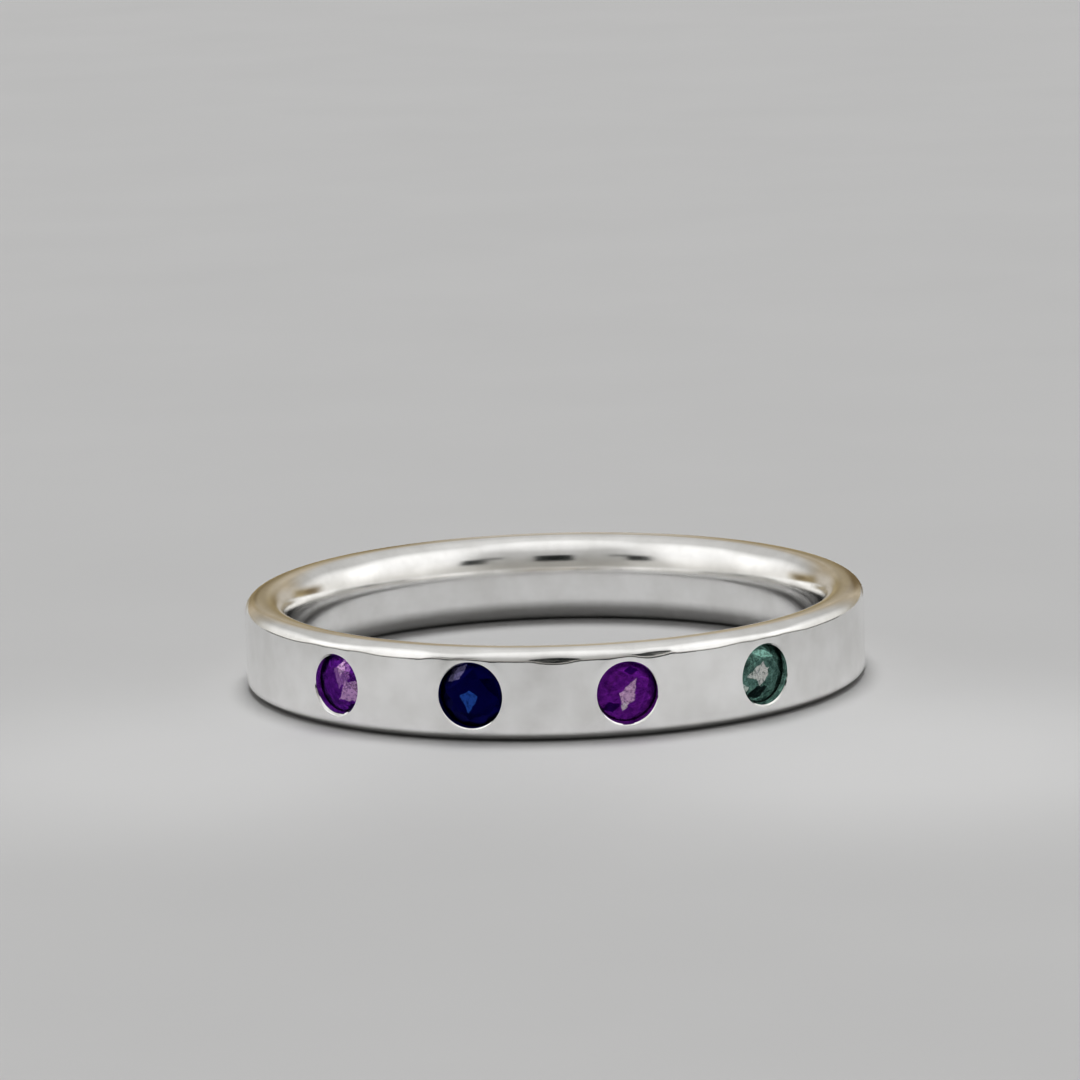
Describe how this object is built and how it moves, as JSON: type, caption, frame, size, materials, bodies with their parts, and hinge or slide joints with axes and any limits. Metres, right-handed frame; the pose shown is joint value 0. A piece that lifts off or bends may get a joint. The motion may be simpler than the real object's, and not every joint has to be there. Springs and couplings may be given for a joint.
{
  "type": "stackable ring",
  "caption": "Narrow polished silver finger ring with a flat outer face, rounded comfort-fit inside and small round gemstones set flush in a row.",
  "frame": {"origin": "on the ring's axis, in the plane of the side that it lies on", "axes": "+Z along the ring's axis, upward as it lies; the row of stones is centred on -Y; +X to the right as seen from the stones' side"},
  "size_m": [0.0208, 0.0208, 0.003],
  "materials": {
    "silver": "polished",
    "purple_gem": "polished facets",
    "blue_gem": "polished facets",
    "lilac_gem": "polished facets",
    "green_gem": "polished facets"
  },
  "bodies": {
    "root": {"band": "silver", "left_purple_stone": "purple_gem", "blue_stone": "blue_gem", "right_purple_stone": "lilac_gem", "green_stone": "green_gem"}
  },
  "joints": []
}
